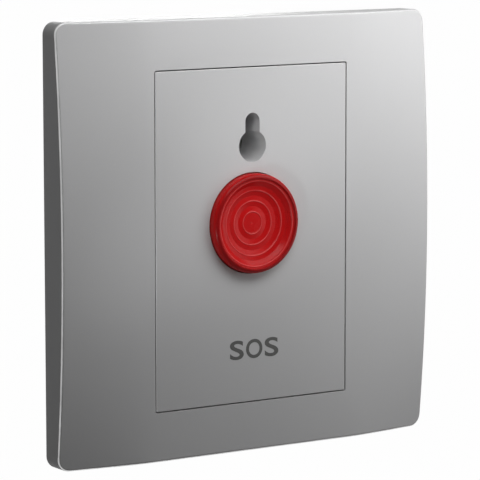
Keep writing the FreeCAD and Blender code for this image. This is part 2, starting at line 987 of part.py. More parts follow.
def contact_strip(side, end, front):
    """A stamped strip: along X from its rivet, along Z to its terminal, then back into the clamp."""
    back = front + strip_thickness
    half = strip_width / 2
    inner = side * (tip_x - strip_end)
    outer = side * (terminal_x + half)
    x0, x1 = sorted((inner, outer))
    arm = block(x0, x1, front, back, button_height - half, button_height + half)
    bend = end * (terminal_height - terminal_room / 2)
    z0, z1 = sorted((button_height - end * half, bend + end * strip_thickness))
    rise = block(
        side * terminal_x - half, side * terminal_x + half, front, back, z0, z1
    )
    z0, z1 = sorted((bend, bend + end * strip_thickness))
    tab = block(
        side * terminal_x - half,
        side * terminal_x + half,
        front,
        terminal_back - terminal_wall,
        z0,
        z1,
    )
    peg_z = (end * terminal_height + button_height) / 2
    holes = [
        cylinder(tip_shank_radius + tip_shank_fit, front - past, back + past, side * tip_x, button_height),
        cylinder(peg_radius + peg_fit, front - past, back + past, side * terminal_x, peg_z),
    ]
    return arm.fuse([rise, tab]).cut(holes).removeSplitter()


def terminal_clamp(x, end):
    """A wire clamp: a short square tube along Y with a tapped hole in its outer wall."""
    half_room = terminal_room / 2
    half = terminal_half
    z = end * terminal_height
    front = terminal_front
    shell = block(x - half, x + half, front, terminal_back, z - half, z + half)
    room = block(
        x - half_room, x + half_room, front - past, terminal_back + past, z - half_room, z + half_room
    )
    level = terminal_back - terminal_length / 2
    tapped = Part.makeCylinder(
        terminal_screw_radius,
        terminal_wall + 2 * past,
        FreeCAD.Vector(x, level, z + end * (half_room - past)),
        FreeCAD.Vector(0, 0, end),
    )
    return shell.cut([room, tapped])


def make_terminal_clamps():
    """The four wire clamps."""
    return Part.makeCompound(
        [terminal_clamp(side * terminal_x, end) for side in (-1, 1) for end in (-1, 1)]
    )


def screw(radius, length, head_radius, head_height):
    """A cross slotted screw along +Z: its head's seat is at 0 and its shank runs down."""
    outline = [
        FreeCAD.Vector(0, 0, -length),
        FreeCAD.Vector(radius, 0, -length),
        FreeCAD.Vector(radius, 0, 0),
        FreeCAD.Vector(head_radius, 0, 0),
        FreeCAD.Vector(head_radius, 0, head_height - screw_head_bevel),
        FreeCAD.Vector(head_radius - screw_head_bevel, 0, head_height),
        FreeCAD.Vector(0, 0, head_height),
    ]
    face = Part.Face(Part.makePolygon(outline + outline[:1]))
    body = face.revolve(FreeCAD.Vector(0, 0, 0), FreeCAD.Vector(0, 0, 1), 360)
    floor = head_height - driver_slot_depth
    reach = head_radius - driver_slot_margin
    half = driver_slot_width / 2
    slots = [
        Part.makeBox(2 * reach, 2 * half, head_height, FreeCAD.Vector(-reach, -half, floor)),
        Part.makeBox(2 * half, 2 * reach, head_height, FreeCAD.Vector(-half, -reach, floor)),
    ]
    return body.cut(slots)


def place_screw(shape, direction, x, y, z):
    """Turn a screw so that its head points along a direction, and seat it."""
    placed = shape.copy()
    turn = FreeCAD.Rotation(FreeCAD.Vector(0, 0, 1), direction)
    placed.Placement = FreeCAD.Placement(FreeCAD.Vector(x, y, z), turn)
    return placed


def make_housing_screws():
    """Four screws from behind, through the flange and the carrier into the panel's bosses."""
    one = screw(
        case_screw_radius - thread_clearance,
        case_screw_length,
        case_screw_head_radius,
        case_screw_head_height,
    )
    backward = FreeCAD.Vector(0, 1, 0)
    return Part.makeCompound(
        [
            place_screw(one, backward, x, 0, z)
            for x, z in corners_of(case_screw_offset, case_screw_height)
        ]
    )


def make_deck_screws():
    """Four screws that hold the deck on the housing's posts."""
    one = screw(
        small_screw_radius - thread_clearance,
        small_screw_length,
        small_screw_head_radius,
        small_screw_head_height,
    )
    forward = FreeCAD.Vector(0, -1, 0)
    return Part.makeCompound(
        [
            place_screw(one, forward, x, deck_front, z)
            for x, z in corners_of(deck_post_x, deck_post_z)
        ]
    )


def make_keeper_screws():
    """Two screws that hold the keeper on the slider's posts."""
    one = screw(
        small_screw_radius - thread_clearance,
        keeper_screw_length,
        small_screw_head_radius,
        small_screw_head_height,
    )
    forward = FreeCAD.Vector(0, -1, 0)
    return Part.makeCompound(
        [place_screw(one, forward, side * post_offset, keeper_front, post_height) for side in (-1, 1)]
    )


def make_terminal_screws():
    """Four clamp screws, their heads towards the top and bottom walls."""
    one = screw(
        terminal_screw_radius,
        terminal_screw_length,
        terminal_screw_head_radius,
        terminal_screw_head_height,
    )
    level = terminal_back - terminal_length / 2
    return Part.makeCompound(
        [
            place_screw(one, FreeCAD.Vector(0, 0, end), side * terminal_x, level, end * terminal_seat)
            for side in (-1, 1)
            for end in (-1, 1)
        ]
    )


makers = {
    "trim_frame": make_trim_frame,
    "centre_panel": make_centre_panel,
    "mounting_frame": make_mounting_frame,
    "rear_housing": make_rear_housing,
    "mechanism_deck": make_mechanism_deck,
    "latch_keeper": make_latch_keeper,
    "latch_slider": make_latch_slider,
    "latch_spring": make_latch_spring,
    "button_cap": make_button_cap,
    "plunger": make_plunger,
    "button_spring": make_button_spring,
    "bridge_spring": make_bridge_spring,
    "contact_bridge": make_contact_bridge,
    "bridge_tips": make_bridge_tips,
    "bridge_clip": make_bridge_clip,
    "fixed_tips": make_fixed_tips,
    "terminal_clamps": make_terminal_clamps,
    "terminal_screws": make_terminal_screws,
    "housing_screws": make_housing_screws,
    "deck_screws": make_deck_screws,
    "keeper_screws": make_keeper_screws,
}

strips = {
    "nc_contact_left": (-1, 1, nc_strip_back - strip_thickness),
    "nc_contact_right": (1, 1, nc_strip_back - strip_thickness),
    "no_contact_left": (-1, -1, no_strip_front),
    "no_contact_right": (1, -1, no_strip_front),
}

shapes = {name: maker() for name, maker in makers.items()}
for name, values in strips.items():
    shapes[name] = contact_strip(*values)

os.makedirs("parts", exist_ok=True)
for name, shape in shapes.items():
    shape.exportStep("parts/" + name + ".step")
    box = shape.BoundBox
    print(
        f"{name}: {len(shape.Solids)} solids, {shape.Volume:.1f} mm3, valid {shape.isValid()}, "
        f"y {box.YMin:.2f} to {box.YMax:.2f}, z {box.ZMin:.2f} to {box.ZMax:.2f}"
    )
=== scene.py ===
# %% [markdown]
# # A panic button on a wall plate
#
# The plate is 86 mm square and fixes to a wall box with two screws. A red button sits in its
# flush centre panel, under a keyhole. Pressed, the button stays in until a key releases it.
# Every solid comes from the CAD model, already in place, so this lesson is about surfaces:
# finishes made only from shader nodes, springs with meshes of their own, a printed mark, and the
# light.

# %% Load the imported model
import math

import bpy
from mathutils import Matrix, Vector


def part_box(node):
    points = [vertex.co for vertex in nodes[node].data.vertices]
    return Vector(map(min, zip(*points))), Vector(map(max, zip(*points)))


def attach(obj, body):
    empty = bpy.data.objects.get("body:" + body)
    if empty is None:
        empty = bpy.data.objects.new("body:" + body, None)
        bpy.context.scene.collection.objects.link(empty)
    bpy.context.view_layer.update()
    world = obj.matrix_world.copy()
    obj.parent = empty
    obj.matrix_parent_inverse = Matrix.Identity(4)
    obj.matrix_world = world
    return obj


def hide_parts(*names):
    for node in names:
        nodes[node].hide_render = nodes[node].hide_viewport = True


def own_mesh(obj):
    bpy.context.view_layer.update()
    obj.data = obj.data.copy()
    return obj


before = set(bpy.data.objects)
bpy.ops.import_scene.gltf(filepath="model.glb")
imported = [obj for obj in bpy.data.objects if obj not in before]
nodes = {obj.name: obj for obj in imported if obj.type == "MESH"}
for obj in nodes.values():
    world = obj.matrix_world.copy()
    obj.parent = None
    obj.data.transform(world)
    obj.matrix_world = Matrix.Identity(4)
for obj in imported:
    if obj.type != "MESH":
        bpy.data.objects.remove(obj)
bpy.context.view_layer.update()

print("pieces from the CAD model:", len(nodes))

# %% [markdown]
# ## Units
#
# Blender measures in metres here, and the button is drawn in millimetres, so one small value
# turns the one into the other. Noise in the shader nodes also runs in metres: a scale of 1000
# gives spots about 1 mm wide.

# %% Millimetres
mm = 0.001

# %% [markdown]
# ## Helpers for node trees
#
# A material is a tree of nodes. Making a node, setting its properties and wiring it up takes
# three lines each time, so two short helpers do it and leave the recipes readable.

# %% Node helpers
def add_node(tree, kind, inputs=None, **settings):
    """Add a node, set its properties, and set or link its inputs by name or number."""
    node = tree.nodes.new(kind)
    for key, value in settings.items():
        setattr(node, key, value)
    for key, value in (inputs or {}).items():
        if isinstance(value, bpy.types.NodeSocket):
            tree.links.new(value, node.inputs[key])
        else:
            node.inputs[key].default_value = value
    return node


def calculate(tree, operation, first, second=0.0, clamp=False):
    """A maths node's result from two values or sockets."""
    node = add_node(tree, "ShaderNodeMath", {0: first, 1: second}, operation=operation)
    node.use_clamp = clamp
    return node.outputs[0]


print("node helpers ready")

# %% [markdown]
# ## Moulded grain
#
# A moulded or painted plastic is never one flat colour. It has broad, faint clouds from the
# way it cooled, and a fine skin of the mould's texture that only shows in its gloss. Both are
# noise at two scales. They go in a node group, because several materials use them with their
# own scales, and the group puts out masks and a height, so that each material decides what
# they do.

# %% Group helper and the grain group
def new_group(name, inputs, outputs):
    """A shader node group with named float sockets."""
    group = bpy.data.node_groups.new(name, "ShaderNodeTree")
    for label, value in inputs.items():
        socket = group.interface.new_socket(label, in_out="INPUT", socket_type="NodeSocketFloat")
        socket.default_value = value
    for label in outputs:
        group.interface.new_socket(label, in_out="OUTPUT", socket_type="NodeSocketFloat")
    entry = group.nodes.new("NodeGroupInput")
    leave = group.nodes.new("NodeGroupOutput")
    return group, entry, leave


def make_grain_group():
    """Broad clouds and a fine skin, both from 0 to 1."""
    group, entry, leave = new_group(
        "moulded grain", {"Cloud scale": 60.0, "Skin scale": 4000.0}, ("Clouds", "Skin")
    )
    place = add_node(group, "ShaderNodeTexCoord").outputs["Object"]
    clouds = add_node(
        group,
        "ShaderNodeTexNoise",
        {"Vector": place, "Scale": entry.outputs["Cloud scale"], "Detail": 3.0},
    )
    skin = add_node(
        group,
        "ShaderNodeTexNoise",
        {"Vector": place, "Scale": entry.outputs["Skin scale"], "Detail": 2.0, "Roughness": 0.6},
    )
    group.links.new(clouds.outputs[0], leave.inputs["Clouds"])
    group.links.new(skin.outputs[0], leave.inputs["Skin"])
    return group


grain_group = make_grain_group()
print("group made:", grain_group.name)

# %% [markdown]
# ## Edge wear
#
# Edges are rubbed first: paint thins there and plastic polishes up. The Bevel node gives the
# normal that the surface would have with a rounded edge. Where that differs from the true
# normal, an edge is near, and the difference is the mask. Noise breaks it up, so that the
# wear doesn't look ruled. Both are multiplied up, because by themselves they stay well below 1.

# %% Edge wear group
bend_gain = 6.0
patch_gain = 1.6


def make_wear_group():
    """A mask that is 1 on worn edges and 0 on open faces."""
    group, entry, leave = new_group(
        "edge wear", {"Width": 0.4 * mm, "Amount": 1.0, "Patch scale": 350.0}, ("Worn",)
    )
    rounded = add_node(group, "ShaderNodeBevel", {"Radius": entry.outputs["Width"]}, samples=6)
    true_normal = add_node(group, "ShaderNodeNewGeometry").outputs["Normal"]
    alike = add_node(
        group,
        "ShaderNodeVectorMath",
        {0: rounded.outputs[0], 1: true_normal},
        operation="DOT_PRODUCT",
    )
    bend = calculate(group, "SUBTRACT", 1.0, alike.outputs["Value"])
    edge = calculate(group, "MULTIPLY", bend, bend_gain, clamp=True)
    place = add_node(group, "ShaderNodeTexCoord").outputs["Object"]
    patches = add_node(
        group,
        "ShaderNodeTexNoise",
        {"Vector": place, "Scale": entry.outputs["Patch scale"], "Detail": 4.0},
    )
    uneven = calculate(group, "MULTIPLY", patches.outputs[0], patch_gain, clamp=True)
    worn = calculate(group, "MULTIPLY", edge, uneven)
    amount = calculate(group, "MULTIPLY", worn, entry.outputs["Amount"], clamp=True)
    group.links.new(amount, leave.inputs["Worn"])
    return group


wear_group = make_wear_group()
print("group made:", wear_group.name)

# %% [markdown]
# ## Dust and painted shade in the corners
#
# Hollow corners hold a little dust that no cloth reaches, and the same mask paints shade there:
# a darker grey tone laid into narrow corners. The Ambient Occlusion node measures how open a
# point is, within a distance. One minus that is the mask.

# %% Dust and painted shade group
def make_dust_group():
    """A mask for dust and painted shade that rises towards 1 in narrow corners."""
    group, entry, leave = new_group(
        "settled dust", {"Reach": 1.5 * mm, "Amount": 0.5, "Patch scale": 500.0}, ("Dust_and_shade",)
    )
    openness = add_node(
        group, "ShaderNodeAmbientOcclusion", {"Distance": entry.outputs["Reach"]}, samples=6
    )
    hidden = calculate(group, "SUBTRACT", 1.0, openness.outputs["AO"])
    place = add_node(group, "ShaderNodeTexCoord").outputs["Object"]
    patches = add_node(
        group,
        "ShaderNodeTexNoise",
        {"Vector": place, "Scale": entry.outputs["Patch scale"], "Detail": 3.0},
    )
    uneven = calculate(group, "MULTIPLY", hidden, patches.outputs[0])
    amount = calculate(group, "MULTIPLY", uneven, entry.outputs["Amount"], clamp=True)
    group.links.new(amount, leave.inputs["Dust_and_shade"])
    return group


dust_group = make_dust_group()
print("group made:", dust_group.name)

# %% [markdown]
# ## Helpers for materials
#
# The materials take four things again and again: a node group with values of its own, a mix of
# two colours, an empty start with only the shader in it, and what a finished recipe already
# feeds to the shader, so that more can be laid over it.

# %% Material helpers
def use_group(tree, group, **values):
    """Place a node group in a material, with its own values."""
    node = add_node(tree, "ShaderNodeGroup", node_tree=group)
    for label, value in values.items():
        node.inputs[label.replace("_", " ")].default_value = value
    return node


def mix_colours(tree, share, first, second):
    """Mix two colours, each a socket or red, green and blue values."""
    node = add_node(tree, "ShaderNodeMix", data_type="RGBA")
    tree.links.new(share, node.inputs["Factor"])
    for socket, value in ((node.inputs["A"], first), (node.inputs["B"], second)):
        if isinstance(value, bpy.types.NodeSocket):
            tree.links.new(value, socket)
        else:
            socket.default_value = (*value, 1.0)
    return node.outputs["Result"]


def start_material(name):
    """An empty material with its shader and output."""
    material = bpy.data.materials.new(name)
    material.use_nodes = True
    tree = material.node_tree
    tree.nodes.clear()
    shader = tree.nodes.new("ShaderNodeBsdfPrincipled")
    output = tree.nodes.new("ShaderNodeOutputMaterial")
    tree.links.new(shader.outputs[0], output.inputs["Surface"])
    return material, tree, shader


def fed_to(shader, label):
    """The socket that feeds one of the shader's inputs so far."""
    return shader.inputs[label].links[0].from_socket


print("material helpers ready")

# %% [markdown]
# ## One recipe for plastics and paint
#
# All the plastics share a build-up: two close tones mixed by the clouds, a worn tone on the
# edges, dust and painted shade in the corners, and a roughness that shifts with the clouds, the
# wear and the dust. The values differ from piece to piece, so a function takes them and makes
# the material. What is the same all over the surface is set on the shader itself.

# %% Plastic and paint
usual = {
    "clouds": 60.0,
    "skin": 4000.0,
    "skin_depth": 0.01 * mm,
    "edge": 0.15 * mm,
    "wear_width": 0.35 * mm,
    "wear": 0.5,
    "dust_reach": 1.5 * mm,
    "dust": 0.3,
    "specular": 0.4,
}
dust_tone = (0.30, 0.29, 0.27)
cloud_shift = 0.12
worn_shift = -0.10
dust_shift = 0.3
skin_strength = 0.6


def plastic(name, tone, second_tone, worn_tone, rough, values):
    """A moulded or painted plastic. values holds the usual ones, with what differs."""
    material, tree, shader = start_material(name)
    grain = use_group(
        tree, grain_group, Cloud_scale=values["clouds"], Skin_scale=values["skin"]
    )
    wear = use_group(tree, wear_group, Width=values["wear_width"], Amount=values["wear"])
    dust = use_group(tree, dust_group, Reach=values["dust_reach"], Amount=values["dust"])
    colour = mix_colours(tree, grain.outputs["Clouds"], tone, second_tone)
    colour = mix_colours(tree, wear.outputs["Worn"], colour, worn_tone)
    # dust and painted shade: a darker grey tone mixed into narrow corners
    colour = mix_colours(tree, dust.outputs["Dust_and_shade"], colour, dust_tone)
    tree.links.new(colour, shader.inputs["Base Color"])
    cloudy = calculate(tree, "MULTIPLY", grain.outputs["Clouds"], cloud_shift)
    rubbed = calculate(tree, "MULTIPLY", wear.outputs["Worn"], worn_shift)
    dusty = calculate(tree, "MULTIPLY", dust.outputs["Dust_and_shade"], dust_shift)
    roughness = calculate(tree, "ADD", cloudy, rubbed)
    roughness = calculate(tree, "ADD", roughness, rough - cloud_shift / 2)
    roughness = calculate(tree, "ADD", roughness, dusty, clamp=True)
    tree.links.new(roughness, shader.inputs["Roughness"])
    rounded = add_node(tree, "ShaderNodeBevel", {"Radius": values["edge"]}, samples=4)
    bump = add_node(
        tree,
        "ShaderNodeBump",
        {
            "Height": grain.outputs["Skin"],
            "Distance": values["skin_depth"],
            "Strength": skin_strength,
            "Normal": rounded.outputs[0],
        },
    )
    tree.links.new(bump.outputs[0], shader.inputs["Normal"])
    shader.inputs["Specular IOR Level"].default_value = values["specular"]
    return material


print("plastic recipe ready, with", len(usual), "usual values")

# %% [markdown]
# ## Bright edges
#
# Along the plate's rounded edges the photograph shows a thin bright line. It is a painted
# highlight: along the edges the paint turns to a pale, smoother metal, which shines as a bright
# line. An edge could be found with the Bevel node again, but these edges are really rounded,
# and there a simpler test is sharper: a point is on an edge when its normal faces neither the
# front nor the side. The normal's share along Y, which is 1 on the front and 0 on a side, is
# compared with two limits.

# %% Edge band
side_limit = 0.30
side_blend = 0.15
front_limit = 0.90
front_blend = 0.10


def edge_band(tree):
    """1 where the surface turns from the front to a side, from the normal's own direction."""
    normal = add_node(tree, "ShaderNodeTexCoord").outputs["Normal"]
    parts = add_node(tree, "ShaderNodeSeparateXYZ", {0: normal})
    front = calculate(tree, "ABSOLUTE", parts.outputs["Y"])
    past_side = calculate(tree, "SUBTRACT", front, side_limit)
    short_of_front = calculate(tree, "SUBTRACT", front_limit, front)
    rise = calculate(tree, "DIVIDE", past_side, side_blend, clamp=True)
    fall = calculate(tree, "DIVIDE", short_of_front, front_blend, clamp=True)
    return calculate(tree, "MULTIPLY", rise, fall)


print("edge band between", side_limit, "and", front_limit)

# %% [markdown]
# ## The silver paint
#
# The plate and its panel are one finish: a satin silver-grey paint on moulded plastic. Real
# silver paint holds fine metal flakes. A Voronoi texture with cells a tenth of a millimetre
# across stands for them: each cell gets paler away from its middle. From a step away it only
# gives the paint its soft, even sheen. A whole image of flakes would cost far more and show
# no better at this size.

# %% Silver paint
flake_scale = 9000.0
flake_share = 0.12
flake_tone = (0.72, 0.72, 0.73)
edge_highlight_tone = (0.95, 0.95, 0.95)
patch_scale = 150.0
patch_spread = 0.5
patch_base = 0.6
edge_highlight_rough_shift = -0.15


def silver_paint():
    """Satin silver-grey paint with fine flakes, and a painted highlight of pale metal on its edges.
    """
    values = dict(usual, clouds=35.0, skin=2500.0, skin_depth=0.006 * mm, edge=0.05 * mm)
    values.update(dust=0.35, specular=0.3)
    tone = (0.485, 0.485, 0.488)
    second = (0.515, 0.515, 0.520)
    worn = (0.66, 0.66, 0.665)
    material = plastic("silver_paint", tone, second, worn, rough=0.48, values=values)
    tree = material.node_tree
    shader = tree.nodes["Principled BSDF"]
    place = add_node(tree, "ShaderNodeTexCoord").outputs["Object"]
    flakes = add_node(tree, "ShaderNodeTexVoronoi", {"Vector": place, "Scale": flake_scale})
    sparkle = calculate(tree, "MULTIPLY", flakes.outputs["Distance"], flake_share, clamp=True)
    lighter = mix_colours(tree, sparkle, fed_to(shader, "Base Color"), flake_tone)
    patches = add_node(
        tree, "ShaderNodeTexNoise", {"Vector": place, "Scale": patch_scale, "Detail": 3.0}
    )
    spread = calculate(tree, "MULTIPLY", patches.outputs[0], patch_spread)
    uneven = calculate(tree, "ADD", spread, patch_base)
    # painted highlight: a band of pale, smoother metal along the edges, placed by the normal's
    # direction
    edge_highlight = calculate(tree, "MULTIPLY", edge_band(tree), uneven, clamp=True)
    with_edge_highlight = mix_colours(tree, edge_highlight, lighter, edge_highlight_tone)
    tree.links.new(with_edge_highlight, shader.inputs["Base Color"])
    tree.links.new(edge_highlight, shader.inputs["Metallic"])
    smoother = calculate(tree, "MULTIPLY", edge_highlight, edge_highlight_rough_shift)
    roughness = calculate(tree, "ADD", fed_to(shader, "Roughness"), smoother, clamp=True)
    tree.links.new(roughness, shader.inputs["Roughness"])
    return material


silver = silver_paint()
print("made:", silver.name)

# %% [markdown]
# ## Rings round the button's axis
#
# A painted highlight makes the button's four ridges pale, and painted shade deepens the red at
# its rim. Both are masks made from the distance to the button's axis. The object's own
# coordinates give it: a subtraction puts the axis at zero, a multiplication flattens the depth
# away, and the length of what is left is the radius. The ridges' radii are the CAD model's.
# Painting the rings by hand would work too, but a formula stays sharp at any distance.

# %% Ring masks
cap_low, cap_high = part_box("button_cap")
cap_middle = (cap_low + cap_high) / 2
ridge_radii = (2.2 * mm, 4.35 * mm, 6.45 * mm, 8.4 * mm)
crest_width = 0.34 * mm
rim_radius = 9.25 * mm
rim_width = 1.2 * mm


def distance_to_axis(tree, place):
    """How far a point lies from the axis of the button."""
    moved = add_node(
        tree,
        "ShaderNodeVectorMath",
        {0: place, 1: (cap_middle.x, 0.0, cap_middle.z)},
        operation="SUBTRACT",
    )
    flat = add_node(
        tree,
        "ShaderNodeVectorMath",
        {0: moved.outputs[0], 1: (1.0, 0.0, 1.0)},
        operation="MULTIPLY",
    )
    far = add_node(tree, "ShaderNodeVectorMath", {0: flat.outputs[0]}, operation="LENGTH")
    return far.outputs["Value"]


def ring_mask(tree, radius, middle, width):
    """1 on a ring of the given radius, falling to 0 at half its width to either side."""
    off = calculate(tree, "ABSOLUTE", calculate(tree, "SUBTRACT", radius, middle))
    return calculate(tree, "SUBTRACT", 1.0, calculate(tree, "DIVIDE", off, width / 2), clamp=True)


print("middle of the cap in mm:", [round(value / mm, 3) for value in cap_middle])

# %% [markdown]
# ## The red button's plastic
#
# The cap is moulded in solid red, with a skin smoother than the plate's and the faint waviness
# of injection moulding. The plastic recipe gives that, and the rings of painted highlight and
# painted shade are laid over its colour.

# %% Red plastic
crest_highlight_tone = (0.80, 0.13, 0.13)
crest_highlight_share = 0.8
crest_patch_scale = 260.0
crest_patch_gain = 1.3
rim_shade_tone = (0.17, 0.002, 0.003)
rim_shade_gain = 1.6
rim_shade_share = 0.65


def red_plastic():
    """Glossy red moulded plastic, with a painted highlight on the crests and painted shade at the
    rim.
    """
    values = dict(usual, clouds=110.0, skin=1400.0, skin_depth=0.012 * mm)
    values.update(wear=0.1, dust=0.25, specular=0.12)
    tone = (0.47, 0.003, 0.004)
    second = (0.53, 0.005, 0.006)
    worn = (0.60, 0.030, 0.032)
    material = plastic("red_plastic", tone, second, worn, rough=0.26, values=values)
    tree = material.node_tree
    shader = tree.nodes["Principled BSDF"]
    place = add_node(tree, "ShaderNodeTexCoord").outputs["Object"]
    radius = distance_to_axis(tree, place)
    # painted highlight: pale rings on the ridge crests, broken up by noise
    crest_highlight_rings = 0.0
    for middle in ridge_radii:
        crest_highlight_rings = calculate(tree, "ADD", crest_highlight_rings, ring_mask(tree, radius, middle, crest_width))
    crest_patches = add_node(
        tree, "ShaderNodeTexNoise", {"Vector": place, "Scale": crest_patch_scale, "Detail": 3.0}
    )
    uneven = calculate(tree, "MULTIPLY", crest_patches.outputs[0], crest_patch_gain)
    rubbed = calculate(tree, "MULTIPLY", crest_highlight_rings, uneven)
    rubbed = calculate(tree, "MULTIPLY", rubbed, crest_highlight_share, clamp=True)
    # painted shade: the rim is mixed towards a deep red
    rim_shade = ring_mask(tree, radius, rim_radius, rim_width)
    rim_shade = calculate(tree, "MULTIPLY", rim_shade, rim_shade_gain, clamp=True)
    rim_shade = calculate(tree, "MULTIPLY", rim_shade, rim_shade_share)
    with_crest_highlights = mix_colours(tree, rubbed, fed_to(shader, "Base Color"), crest_highlight_tone)
    with_rim_shade = mix_colours(tree, rim_shade, with_crest_highlights, rim_shade_tone)
    tree.links.new(with_rim_shade, shader.inputs["Base Color"])
    return material


red = red_plastic()
print("made:", red.name)

# %% [markdown]
# ## The plastics behind the plate
#
# The mounting frame is the same grey as the plate before paint, the switch housing is an
# off-white engineering plastic, and the moving parts inside are a whiter, slippery one. The
# same recipe makes all three.

# %% Unpainted plastics
carrier = plastic(
    "carrier_plastic",
    (0.30, 0.30, 0.31),
    (0.34, 0.34, 0.35),
    (0.42, 0.42, 0.43),
    rough=0.58,
    values=dict(usual, clouds=80.0, skin=2200.0, skin_depth=0.02 * mm),
)
housing = plastic(
    "housing_plastic",
    (0.62, 0.61, 0.58),
    (0.67, 0.66, 0.63),
    (0.74, 0.73, 0.71),
    rough=0.52,
    values=dict(usual, clouds=90.0, skin=1800.0, skin_depth=0.02 * mm, dust=0.45),
)
slippery = plastic(
    "slippery_plastic",
    (0.70, 0.70, 0.68),
    (0.75, 0.75, 0.73),
    (0.80, 0.80, 0.79),
    rough=0.38,
    values=dict(usual, clouds=150.0, skin=3000.0),
)
print("made:", carrier.name, housing.name, slippery.name)

# %% [markdown]
# ## Metals
#
# Metal takes its colour from its reflection, so Metallic is 1 and the interest lies in the
# roughness. Plated screws are slightly cloudy, rolled brass has lines along one direction,
# and both darken a little in patches. Stretching the noise along one axis makes the lines.

# %% Metals
line_shift = 0.25
line_middle = 0.12
line_depth = 0.005 * mm


def metal(name, tone, dark_tone, rough, line_stretch, line_scale):
    """A metal with cloudy or rolled roughness and duller patches."""
    material, tree, shader = start_material(name)
    place = add_node(tree, "ShaderNodeTexCoord").outputs["Object"]
    stretched = add_node(
        tree, "ShaderNodeMapping", {"Vector": place, "Scale": (1.0, line_stretch, 1.0)}
    )
    lines = add_node(
        tree,
        "ShaderNodeTexNoise",
        {"Vector": stretched.outputs[0], "Scale": line_scale, "Detail": 4.0},
    )
    patches = add_node(tree, "ShaderNodeTexNoise", {"Vector": place, "Scale": 300.0, "Detail": 3.0})
    wear = use_group(tree, wear_group, Width=0.2 * mm, Amount=0.6)
    colour = mix_colours(tree, patches.outputs[0], tone, dark_tone)
    colour = mix_colours(tree, wear.outputs["Worn"], colour, tone)
    tree.links.new(colour, shader.inputs["Base Color"])
    spread = calculate(tree, "MULTIPLY", lines.outputs[0], line_shift)
    roughness = calculate(tree, "ADD", spread, rough - line_middle, clamp=True)
    tree.links.new(roughness, shader.inputs["Roughness"])
    bump = add_node(
        tree,
        "ShaderNodeBump",
        {"Height": lines.outputs[0], "Distance": line_depth, "Strength": 0.5},
    )
    tree.links.new(bump.outputs[0], shader.inputs["Normal"])
    shader.inputs["Metallic"].default_value = 1.0
    return material


plated_steel = metal(
    "plated_steel",
    (0.66, 0.67, 0.68),
    (0.50, 0.50, 0.50),
    rough=0.32,
    line_stretch=1.0,
    line_scale=1500.0,
)
spring_wire = metal(
    "spring_wire",
    (0.60, 0.60, 0.60),
    (0.42, 0.42, 0.43),
    rough=0.28,
    line_stretch=0.2,
    line_scale=4000.0,
)
brass = metal(
    "rolled_brass",
    (0.78, 0.58, 0.28),
    (0.60, 0.42, 0.18),
    rough=0.30,
    line_stretch=0.1,
    line_scale=3000.0,
)
silver_contact = metal(
    "silver_contact",
    (0.88, 0.87, 0.84),
    (0.70, 0.69, 0.66),
    rough=0.22,
    line_stretch=1.0,
    line_scale=5000.0,
)
print("made:", plated_steel.name, spring_wire.name, brass.name, silver_contact.name)

# %% [markdown]
# ## Each piece gets its finish
#
# The pieces from the CAD model keep their shape. Only their material slots change. Each piece
# could be given its finish by hand in the editor. A table from piece to finish does the same,
# and is easy to read and to change.

# %% Finishes on the CAD pieces
finish_of = {
    "trim_frame": silver,
    "centre_panel": silver,
    "button_cap": red,
    "mounting_frame": carrier,
    "rear_housing": housing,
    "mechanism_deck": slippery,
    "latch_keeper": slippery,
    "latch_slider": plated_steel,
    "plunger": slippery,
    "latch_spring": spring_wire,
    "button_spring": spring_wire,
    "bridge_spring": spring_wire,
    "bridge_clip": spring_wire,
    "contact_bridge": brass,
    "nc_contact_left": brass,
    "nc_contact_right": brass,
    "no_contact_left": brass,
    "no_contact_right": brass,
    "terminal_clamps": brass,
    "bridge_tips": silver_contact,
    "fixed_tips": silver_contact,
    "terminal_screws": plated_steel,
    "housing_screws": plated_steel,
    "deck_screws": plated_steel,
    "keeper_screws": plated_steel,
}
for name, material in finish_of.items():
    for material_slot in nodes[name].material_slots:
        material_slot.material = material
print("pieces with a finish:", len(finish_of), "without:", sorted(set(nodes) - set(finish_of)))

# %% [markdown]
# ## Springs with meshes of their own
#
# Two springs stand between a fixed wall and a moving piece. If they only rode on the base, the
# moving piece would pass through them when the button is pressed. Each gets a copy with a mesh
# of its own, which rides on the base, and the CAD spring is hidden.


def shortening_spring(name, node):
    """A copy of a CAD spring with a mesh of its own, on the base; the CAD spring is hidden."""
    spring = bpy.data.objects.new(name, nodes[node].data.copy())
    bpy.context.scene.collection.objects.link(spring)
    spring.matrix_world = nodes[node].matrix_world.copy()
    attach(spring, "base")
    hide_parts(node)
    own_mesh(spring)


shortening_spring("return_spring_coil", "button_spring")
shortening_spring("latch_spring_coil", "latch_spring")

# %% [markdown]
# ## One letter
#
# Three plain letters under the button say what it is for, as ON and OFF do on a switch. They
# could be an image on the panel, but an outline stays sharp and needs no file. Blender's text
# object gives each letter's outline, and a small offset makes it bold. Its points are kept as
# shares from 0 to 1, so that any size can be made of them.

# %% Letter outlines
stroke_growth = 0.018
outline_depth = 0.01
curve_steps = 8


def letter_points(letter):
    """The points of a flat, thickened letter, each from 0 to 1, and its faces."""
    outline = bpy.data.curves.new("help_mark_outline", "FONT")
    outline.body = letter
    outline.offset = stroke_growth
    outline.extrude = outline_depth
    outline.resolution_u = curve_steps
    text = bpy.data.objects.new("help_mark_outline", outline)
    bpy.context.scene.collection.objects.link(text)
    bpy.context.view_layer.update()
    mesh = text.evaluated_get(bpy.context.evaluated_depsgraph_get()).to_mesh()
    points = [vertex.co.copy() for vertex in mesh.vertices]
    faces = [tuple(polygon.vertices) for polygon in mesh.polygons]
    bpy.data.objects.remove(text)
    bpy.data.curves.remove(outline)
    low = [min(point[i] for point in points) for i in range(3)]
    high = [max(point[i] for point in points) for i in range(3)]
    shares = [[(point[i] - low[i]) / (high[i] - low[i]) for i in range(3)] for point in points]
    return shares, faces


print("letter helper ready")

